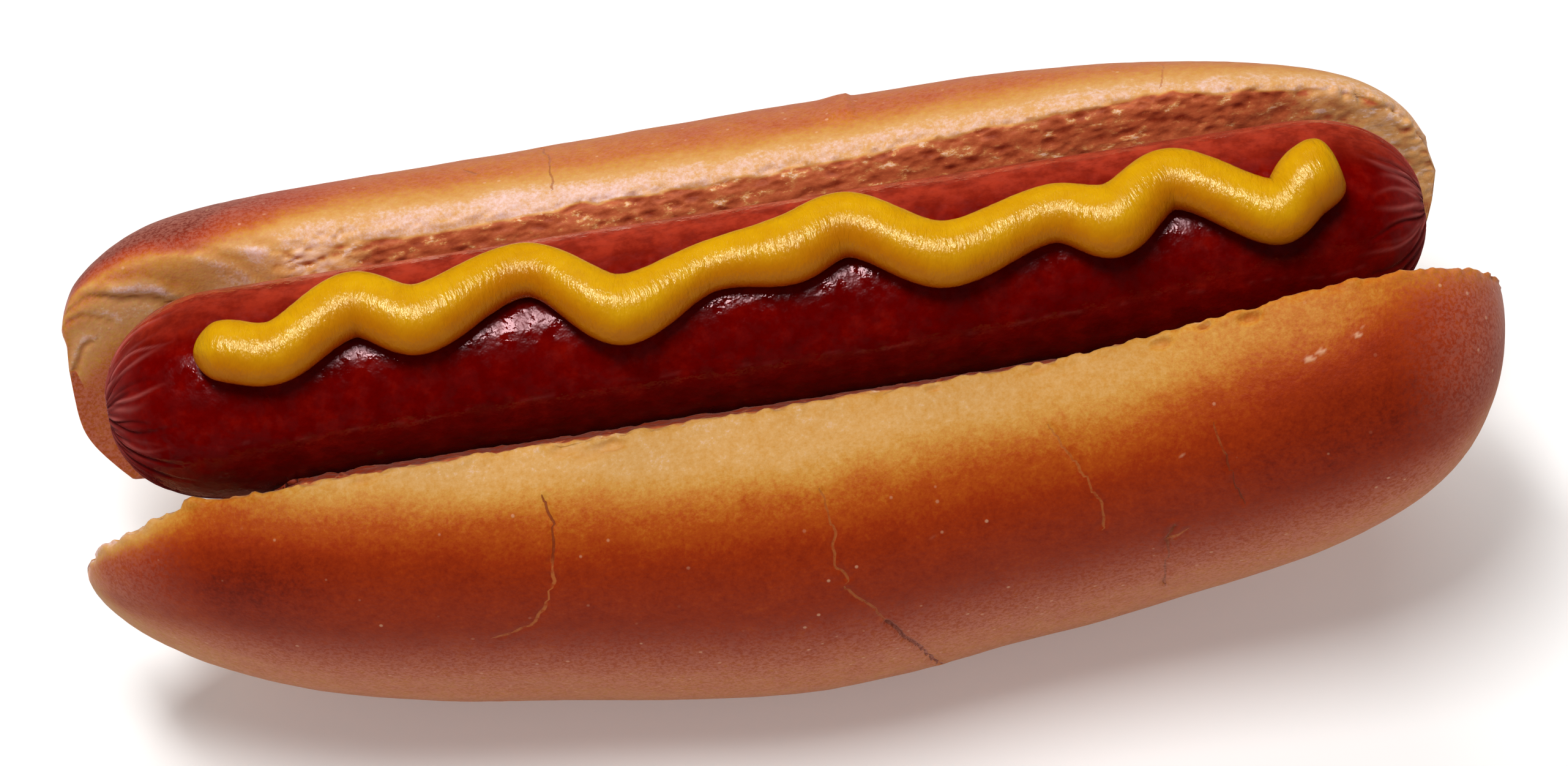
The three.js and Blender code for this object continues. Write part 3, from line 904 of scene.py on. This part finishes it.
def noise_of(tree, vector, size_mm, detail, roughness=0.6):
    """Noise with its coarsest grain of that size in millimetres."""
    node = add_node(tree, "ShaderNodeTexNoise", Scale=1000.0 / size_mm, Detail=detail,
                    Roughness=roughness)
    tree.links.new(vector, node.inputs["Vector"])
    return node.outputs["Fac"]


def roughen(tree, shader, height, strength, distance):
    """Makes the surface rise and dip with the height, by about that distance in metres."""
    relief = add_node(tree, "ShaderNodeBump", Strength=strength, Distance=distance)
    tree.links.new(height, relief.inputs["Height"])
    tree.links.new(relief.outputs["Normal"], shader.inputs["Normal"])


# The crust: the place's bake, broken by mottle, blotches and grain, picks the brown; over it the
# pale rims of healed cracks, painted shade down the open ones, flecks and blisters, and a dusting
# of flour.
bread, tree, shader = new_material("baked_bread")
where = add_node(tree, "ShaderNodeTexCoord").outputs["Object"]
bake, cut, crack, crack_away, crack_open, blister, floury = (
    attribute_of(tree, name) for name in (
        "bake", "cut", "crack", "crack_away", "crack_open", "blister", "floury"))
mottle = noise_of(tree, where, 0.9, 4.0, 0.75)
blotch = noise_of(tree, where, 4.0, 2.0)
grain = noise_of(tree, where, 0.40, 3.0, 0.7)
browned = bake
for noise, share in ((mottle, 0.34), (blotch, 0.16), (grain, 0.26)):
    browned = maths(tree, "MULTIPLY_ADD", noise, share, browned)
browned = maths(tree, "SUBTRACT", browned, 0.38)
ramp = colour_ramp(tree, [
    (0.00, srgb(234, 200, 190)), (0.16, srgb(214, 162, 94)), (0.30, srgb(204, 142, 56)),
    (0.44, srgb(192, 110, 28)), (0.58, srgb(176, 74, 10)), (0.74, srgb(158, 48, 4)),
    (0.90, srgb(136, 34, 2)), (1.00, srgb(112, 24, 2))])
tree.links.new(browned, ramp.inputs["Fac"])
gap = maths(tree, "MAXIMUM", maths(tree, "ABSOLUTE", crack, 0.0), crack_away)
healed = ranged(tree, maths(tree, "SUBTRACT", gap, maths(tree, "MULTIPLY", crack_open, -0.8)),
                0.8, 2.0, 1.0, 0.0)
healed = maths(tree, "MULTIPLY", healed, ranged(tree, mottle, 0.36, 0.56, 0.10, 0.55))
crust_colour = blended(tree, healed, ramp.outputs["Color"], srgb(206, 126, 62))
# Painted shade in the open cracks: dark red-brown down their middle.
open_crack_shade = maths(tree, "MULTIPLY", ranged(tree, gap, 0.6, 1.2, 1.0, 0.0), crack_open)
crust_colour = blended(tree, open_crack_shade, crust_colour, srgb(120, 38, 14))
dots = add_node(tree, "ShaderNodeTexVoronoi", Scale=640.0, Randomness=1.0)
tree.links.new(where, dots.inputs["Vector"])
chosen = add_node(tree, "ShaderNodeSeparateColor")
tree.links.new(dots.outputs["Color"], chosen.inputs["Color"])
rarity = maths(tree, "MULTIPLY_ADD", floury, 0.45, chosen.outputs["Red"])
fleck = maths(tree, "MULTIPLY", ranged(tree, dots.outputs["Distance"], 0.07, 0.17, 1.0, 0.0),
              ranged(tree, rarity, 0.85, 1.00, 0.0, 0.46))
fleck = maths(tree, "MAXIMUM", fleck, maths(tree, "MULTIPLY", blister, 0.62))
crust_colour = blended(tree, fleck, crust_colour, srgb(236, 186, 146))
dusted = maths(tree, "MULTIPLY", floury, ranged(tree, grain, 0.38, 0.60, 0.06, 0.50))
crust_colour = blended(tree, dusted, crust_colour, srgb(224, 148, 126))
# The crumb: its tone, broken by grains drawn out along the bun, with rare pale ones.
stretched = add_node(tree, "ShaderNodeVectorMath", operation="MULTIPLY")
tree.links.new(where, stretched.inputs[0])
stretched.inputs[1].default_value = (0.5, 1.0, 1.0)
grains = noise_of(tree, stretched.outputs["Vector"], 1.2, 5.0, 0.72)
crumb_tone = maths(tree, "MULTIPLY_ADD", grains, -0.9, bake)
crumb_tone = maths(tree, "ADD", crumb_tone, 0.50)
crumb_tone = maths(tree, "SUBTRACT", crumb_tone, ranged(tree, grains, 0.56, 0.68, 0.0, 0.42))
crumb_ramp = colour_ramp(tree, [
    (0.05, srgb(240, 202, 176)), (0.34, srgb(222, 164, 98)), (0.62, srgb(190, 98, 58)),
    (1.00, srgb(136, 48, 24))])
tree.links.new(crumb_tone, crumb_ramp.inputs["Fac"])
bread_colour = blended(tree, cut, crust_colour, crumb_ramp.outputs["Color"])
tree.links.new(bread_colour, shader.inputs["Base Color"])
# The finish: a dull glaze with a soft bloom, a fine grain, raised flecks and sunk cracks.
set_inputs(
    shader, Roughness=0.48, Specular_IOR_Level=0.10, Sheen_Weight=0.42, Sheen_Roughness=0.35,
    Sheen_Tint=srgb(255, 214, 200))
height = noise_of(tree, where, 0.5, 3.0)
height = maths(tree, "MULTIPLY_ADD", fleck, 0.8, height)
height = maths(tree, "MULTIPLY_ADD", open_crack_shade, -1.5, height)
roughen(tree, shader, height, 0.55, 0.12 * MM)

for half, name in ((NEAR_HALF, "bun_near_half"), (FAR_HALF, "bun_far_half")):
    rings, extra = half_rings(half)
    points, triangles, (way, below) = skin_of(rings, extra)
    normals = outward(points, triangles)
    x = points[:, 0]
    down = np.maximum(way, 0)
    crack, crack_away, crack_open, lines = cracks_over(half, points, normals)
    if half is NEAR_HALF:
        pocket, pocket_depth = pockets_in(points)
        lines -= pocket_depth
        cut = np.maximum(cut_of_near(points, below), POCKET_CRUMB * pocket)
        bake = mix(bake_of_near(points, x, down), tone_and_shade_of_near(x, below), cut)
        blister = blisters_on(points)
    else:
        fold_relief, fold_painted_light = folds_over(points, normals)
        lines += fold_relief
        cut = cut_of_far(points, x, below)
        # Painted light of the folds: shade in each dip and light on each rise.
        bake = bake_of_far(points, x, down, below) + FOLD_PAINTED_LIGHT * fold_painted_light
        bake = mix(bake, tone_and_shade_of_far(points, x), cut)
        blister = np.zeros(len(points))
    push = mix(crust_relief(points), crumb_relief(points), cut)
    push += ragged_lip(points, below, x) + lines
    push *= smooth(0.0, 1.0, points[:, 2] + SOLE_BELOW_AXIS)
    moved = points + normals * push[:, None]
    if half is NEAR_HALF:
        moved = curled_lip(moved, x, below)
    else:
        moved = shaped_tip(moved + normals * flake_over(x, below)[:, None], x)
    moved[:, 2] = np.maximum(moved[:, 2], -SOLE_BELOW_AXIS)
    moved = np.where((below > 0)[:, None], clear_of_sausage(moved), moved)
    values = dict(
        bake=bake, cut=cut, blister=blister, floury=flour_of(half, x, way, below),
        crack=crack, crack_away=crack_away, crack_open=crack_open)
    bun_half = piece_from(name, moved, triangles, values, bread)
    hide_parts("bun")
    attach(bun_half, "root")

# ---- Sausage ----
# A bun-length frankfurter with a taut, glossy skin, tied off at both ends so that the skin
# gathers into a small pucker with creases running in to it. It lies in the split of the bun.

# Angles run round the sausage from its far side over its top.
PUCKER_RADIUS = 2.2
PUCKER_DEPTH = 0.9
SAUSAGE_STATIONS = 338
SAUSAGE_AROUND = 290
# Creases at each tied end, and the ranges of their reach, width, bend and depth; how deep they
# sink and how high the skin stands stretched between them.
END_CREASES = 50
CREASE_REACH = (6.0, 17.0)
CREASE_WIDTH = (0.15, 0.30)
CREASE_BEND = (-0.10, 0.10)
CREASE_DEPTH = (0.25, 1.0)
CREASE_SINK = 0.75
STRETCH_RISE = 0.22
# How far from each tip the painted pink sheen reaches, fading out.
END_SHEEN_TO = (1.0, 12.0)
# One long faint wrinkle, with a painted highlight along it; and painted light on the far side of
# the skin, a paler red where it faces the bread and the lamp behind.
WRINKLE_ANGLE = np.radians(155.0)
WRINKLE_WIDTH = 0.20
WRINKLE_RISE = 0.012
WRINKLE_HIGHLIGHT = 0.07
# Where the painted light on the far side is full and where it is gone, and how much less the left
# end takes.
FAR_LIGHT_FULL = np.radians(50.0)
FAR_LIGHT_GONE = np.radians(100.0)
FAR_LIGHT_LEFT = 0.3
FAR_LIGHT_LEFT_ALONG = (-46.0, -58.0)


def end_creases(depth_in, turn, radius, seed):
    """Creases running in to one tied end. Each is a groove of its own angle, length and width:
    depth * exp(-(arc across / width) ** 2), dying away towards its far end."""
    rng = np.random.default_rng(seed)
    grooves = np.zeros(np.broadcast_shapes(depth_in.shape, turn.shape))
    for k in range(END_CREASES):
        place = 2 * np.pi * (k + rng.uniform(-0.35, 0.35)) / END_CREASES
        reach, width, bend, depth = (rng.uniform(*span) for span in (
            CREASE_REACH, CREASE_WIDTH, CREASE_BEND, CREASE_DEPTH))
        across = (turn - place - bend * np.sin(0.55 * depth_in) + np.pi) % (2 * np.pi) - np.pi
        fade = 1 - smooth(0.35 * reach, reach, depth_in)
        grooves = np.maximum(grooves, depth * fade * np.exp(-(across * radius / width) ** 2))
    return grooves * smooth(0.0, 1.6, radius)


position = np.linspace(-np.pi / 2, np.pi / 2, SAUSAGE_STATIONS)
share = mix(np.sin(position), position / (np.pi / 2), 0.35)[:, None]
turn = (2 * np.pi * np.arange(SAUSAGE_AROUND) / SAUSAGE_AROUND)[None, :]
x = share * SAUSAGE_LENGTH / 2
radius = sausage_radius(x)
steps = np.hypot(np.diff(x[:, 0]), np.diff(radius[:, 0]))
from_left = np.concatenate([[0], np.cumsum(steps)])[:, None]
from_right = from_left[-1:] - from_left
pleats = end_creases(from_left, turn, radius, 43) + end_creases(from_right, turn, radius, 44)
stretch = end_creases(from_left, turn, radius, 45) + end_creases(from_right, turn, radius, 46)
wrinkle_turn = WRINKLE_ANGLE + 0.04 * np.sin(0.11 * x) + 0.02 * np.sin(0.53 * x + 2)
broken = smooth(0.0, 0.6, lattice_noise(np.stack([x / 0.9, 0 * x, 0 * x], -1), 1.0, 47))
wrinkle = bump((turn - wrinkle_turn) * radius, 0, WRINKLE_WIDTH) * broken
radius = radius - CREASE_SINK * pleats + STRETCH_RISE * stretch + WRINKLE_RISE * wrinkle
pucker = PUCKER_DEPTH * (1 - smooth(0, PUCKER_RADIUS, radius))
rings = np.stack([
    x - np.sign(share) * pucker, radius * np.cos(turn), radius * np.sin(turn)], -1)[:, ::-1]
# Painted sheen: pink towards the tied tips.
painted_end_sheen = (1 - smooth(*END_SHEEN_TO, np.minimum(from_left, from_right))) * np.ones_like(turn)
# Painted light: the far side of the skin is given a paler red.
painted_far_light = 1 - smooth(FAR_LIGHT_FULL, FAR_LIGHT_GONE, turn)
painted_far_light = painted_far_light * (1 - FAR_LIGHT_LEFT * smooth(*FAR_LIGHT_LEFT_ALONG, x))
# Painted highlights: pink streaks on the stretched ridges between the end creases and along the
# wrinkle.
painted_highlight = np.clip(stretch * (1 - pleats) + WRINKLE_HIGHLIGHT * wrinkle, 0, 1)
points, triangles, (pleats, painted_end_sheen, painted_highlight, painted_far_light) = skin_of(
    rings, [values[:, ::-1] for values in (pleats, painted_end_sheen, painted_highlight, painted_far_light)])
stretched = points * np.array([0.55, 1, 1])
dimples = 0.045 * lattice_noise(stretched, 3.0, 41) + 0.022 * lattice_noise(stretched, 1.1, 42)
points = points + outward(points, triangles) * dimples[:, None]

skin, tree, shader = new_material("sausage_skin")
where = add_node(tree, "ShaderNodeTexCoord").outputs["Object"]
painted_crease_shade, painted_end_sheen_share, painted_highlight_share, painted_far_light_share = (
    attribute_of(tree, name) for name in ("painted_crease_shade", "painted_end_sheen", "painted_highlight", "painted_far_light"))
cloud = noise_of(tree, where, 3.0, 6.0, 0.68)
ramp = colour_ramp(tree, [
    (0.28, srgb(86, 0, 0)), (0.52, srgb(104, 1, 0)), (0.76, srgb(130, 12, 3))])
tree.links.new(cloud, ramp.inputs["Fac"])
# Painted light on the far side: a paler red, mottled.
painted_far_light_share = maths(tree, "MULTIPLY", painted_far_light_share, ranged(tree, cloud, 0.34, 0.64, 0.45, 1.0))
skin_colour = blended(tree, painted_far_light_share, ramp.outputs["Color"], srgb(184, 62, 38))
# Painted sheen, pink, towards the tied tips.
skin_colour = blended(tree, maths(tree, "MULTIPLY", painted_end_sheen_share, 0.42), skin_colour, srgb(196, 76, 72))
# Painted highlights along the stretched ridges and the wrinkle.
skin_colour = blended(tree, maths(tree, "MULTIPLY", painted_highlight_share, 0.70), skin_colour, srgb(222, 124, 116))
# Painted shade: the end creases are near black.
skin_colour = blended(tree, painted_crease_shade, skin_colour, srgb(70, 2, 4))
tree.links.new(skin_colour, shader.inputs["Base Color"])
patchy = ranged(tree, noise_of(tree, where, 1.6, 3.0), 0.42, 0.58, 0.08, 0.26)
tree.links.new(patchy, shader.inputs["Roughness"])
set_inputs(
    shader, Specular_IOR_Level=0.37, Specular_Tint=srgb(255, 210, 216), Sheen_Weight=0.20,
    Sheen_Roughness=0.22, Sheen_Tint=srgb(255, 160, 160))
roughen(tree, shader, noise_of(tree, where, 1.8, 3.0, 0.55), 0.7, 0.26 * MM)

values = dict(painted_crease_shade=pleats, painted_end_sheen=painted_end_sheen, painted_highlight=painted_highlight, painted_far_light=painted_far_light)
sausage = piece_from("sausage_link", points, triangles, values, skin)
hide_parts("sausage")
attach(sausage, "root")

# ---- Mustard ----
# One thick bead squeezed from a round nozzle, in uneven waves along the top of the sausage: it
# starts with a blob and ends in a short drawn-up tail. It clings to the skin on a narrow foot.
MUSTARD_HALF_WIDTH = 2.85
MUSTARD_HEIGHT = 5.4
MUSTARD_CLEARANCE = 0.35
MUSTARD_BLOB = 0.022
MUSTARD_TAIL = 0.030
MUSTARD_ENDS_LIFT = 0.15
MUSTARD_STATIONS = 860
MUSTARD_AROUND = 112
FOOT_COUNT = 18
FOOT_ANGLE = np.radians(-38)
# How much painted shade the bead takes on its near side.
NEAR_SIDE_SHADE = 0.62
# Where the bead turns: along the sausage, degrees off its top to the near side, how full it is.
MUSTARD_TURNS = [
    (-59.5, 13, 0.75), (-56, 17, 0.95), (-51, 21, 0.95), (-42.5, 4.5, 1), (-36, 16.5, 1.05),
    (-24, -0.5, 0.85), (-15, 26, 1.05), (-5, 12, 0.8), (3.5, 11, 1.05), (9.5, 3, 1),
    (19, 24, 1), (31, 13, 0.9), (37, 21, 1.1), (43.5, 5.5, 0.95), (54, 28, 1),
    (57.5, 17.5, 1.1), (61, 10.5, 1.05)]


def between(u, start, end, a, b):
    """a where u is start and b where it is end, straight between."""
    return (end - u) / (end - start) * a + (u - start) / (end - start) * b


def through_turns(turns, count):
    """A smooth path through the turns, evenly stepped: centripetal Catmull-Rom, knots spaced
    by the root of the distance, each stretch blended three times between its four points."""
    p = np.array([(x, np.radians(angle) * SAUSAGE_RADIUS, full) for x, angle, full in turns])
    p = np.vstack([2 * p[0] - p[1], p, 2 * p[-1] - p[-2]])
    pieces = []
    for a, b, c, d in zip(p[:-3], p[1:-2], p[2:-1], p[3:]):
        k = np.cumsum([0] + [np.linalg.norm(v) ** 0.5 for v in (b - a, c - b, d - c)])
        u = np.linspace(k[1], k[2], 60, endpoint=False)[:, None]
        ab, bc, cd = (between(u, k[i], k[i + 1], *pair)
                      for i, pair in enumerate(((a, b), (b, c), (c, d))))
        abc, bcd = between(u, k[0], k[2], ab, bc), between(u, k[1], k[3], bc, cd)
        pieces.append(between(u, k[1], k[2], abc, bcd))
    line = np.vstack(pieces + [p[-2:-1]])
    share = mix(np.linspace(0, 1, count), (1 - np.cos(np.linspace(0, np.pi, count))) / 2, 0.35)
    at = share * length_along(line)[-1]
    return share, at, points_along(line, at)


def bead_section(count, foot):
    """Half width and height round the bead: a round back, (cos, sin) of an angle from the foot's
    to its mirror, on a narrower flat foot; the height is then taken to 0..1."""
    angle = np.linspace(FOOT_ANGLE, np.pi - FOOT_ANGLE, count - foot + 1)
    edge, low = np.cos(FOOT_ANGLE), np.sin(FOOT_ANGLE)
    side = np.concatenate([np.cos(angle), np.linspace(-edge, edge, foot + 1)[1:-1]])
    up = np.concatenate([(np.sin(angle) - low) / (1 - low), np.zeros(foot - 1)])
    return side, up


share, run, path = through_turns(MUSTARD_TURNS, MUSTARD_STATIONS)
tangent = np.gradient(path[:, :2], axis=0)
tangent /= np.linalg.norm(tangent, axis=1, keepdims=True)
blob = np.sqrt(1 - (1 - np.clip(share / MUSTARD_BLOB, 0, 1)) ** 2)
tail = (1 - (1 - np.clip((1 - share) / MUSTARD_TAIL, 0, 1)) ** 4) ** 0.25
ends = (blob * tail)[:, None]
full = ends * path[:, 2:]
side, up = bead_section(MUSTARD_AROUND, FOOT_COUNT)
side = side[None, :] * MUSTARD_HALF_WIDTH * full
up = up[None, :] * MUSTARD_HEIGHT * full + MUSTARD_ENDS_LIFT * MUSTARD_HEIGHT * (1 - ends)
x = path[:, :1] - tangent[:, 1:] * side
angle = (path[:, 1:2] + tangent[:, :1] * side) / SAUSAGE_RADIUS
radius = sausage_radius(x) + MUSTARD_CLEARANCE + up
rings = np.stack([x, -radius * np.sin(angle), radius * np.cos(angle)], -1)
around = np.cumsum(np.full(rings.shape[:2], 2 * np.pi * MUSTARD_HALF_WIDTH / MUSTARD_AROUND), 1)
height_share = up / np.maximum(up.max(1, keepdims=True), 1e-6)
near_share = np.clip(side / np.maximum(side.max(1, keepdims=True), 1e-6), -1, 1)
# Painted shade: 'foot' darkens the bead to orange-brown low down and most on its near side, the
# parts that the lamp overhead leaves in shade.
foot = np.clip(1.5 * (1.1 - height_share), 0, 1) * mix(0.25, 1.0, smooth(-0.6, 0.5, near_share))
foot = np.maximum(foot, NEAR_SIDE_SHADE * smooth(-0.05, 0.75, near_share))
points, triangles, (run, around, foot) = skin_of(
    rings, [run[:, None] * np.ones_like(side), around, foot])
streaks = np.stack([run / 0.55, around / 2.4, 0 * run], -1)
ripple = 0.030 * lattice_noise(points, 2.4, 51) + 0.016 * lattice_noise(streaks, 1.0, 52)
points = points + outward(points, triangles) * ripple[:, None]

sauce, tree, shader = new_material("mustard_sauce")
where = add_node(tree, "ShaderNodeTexCoord").outputs["Object"]
cloud = noise_of(tree, where, 3.0, 4.0, 0.65)
ramp = colour_ramp(tree, [(0.35, srgb(208, 148, 0)), (0.65, srgb(220, 164, 1))])
tree.links.new(cloud, ramp.inputs["Fac"])
# The painted shade low down and on the near side.
sauce_colour = blended(tree, attribute_of(tree, "foot"), ramp.outputs["Color"], srgb(176, 66, 0))
tree.links.new(sauce_colour, shader.inputs["Base Color"])
set_inputs(
    shader, Roughness=0.22, Specular_IOR_Level=0.66, Specular_Tint=srgb(255, 252, 206))
# The nozzle's fine ripples run across the bead: noise on its own length and way round.
crosswise = add_node(tree, "ShaderNodeCombineXYZ")
tree.links.new(attribute_of(tree, "run"), crosswise.inputs["X"])
tree.links.new(maths(tree, "MULTIPLY", attribute_of(tree, "around"), 0.38), crosswise.inputs["Y"])
streak = add_node(tree, "ShaderNodeTexNoise", Scale=2.4, Detail=3.0, Roughness=0.6)
tree.links.new(crosswise.outputs["Vector"], streak.inputs["Vector"])
roughen(tree, shader, streak.outputs["Fac"], 0.95, 0.18 * MM)

values = dict(run=run, around=around, foot=foot)
mustard = piece_from("mustard_bead", points, triangles, values, sauce)
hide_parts("mustard")
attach(mustard, "root")
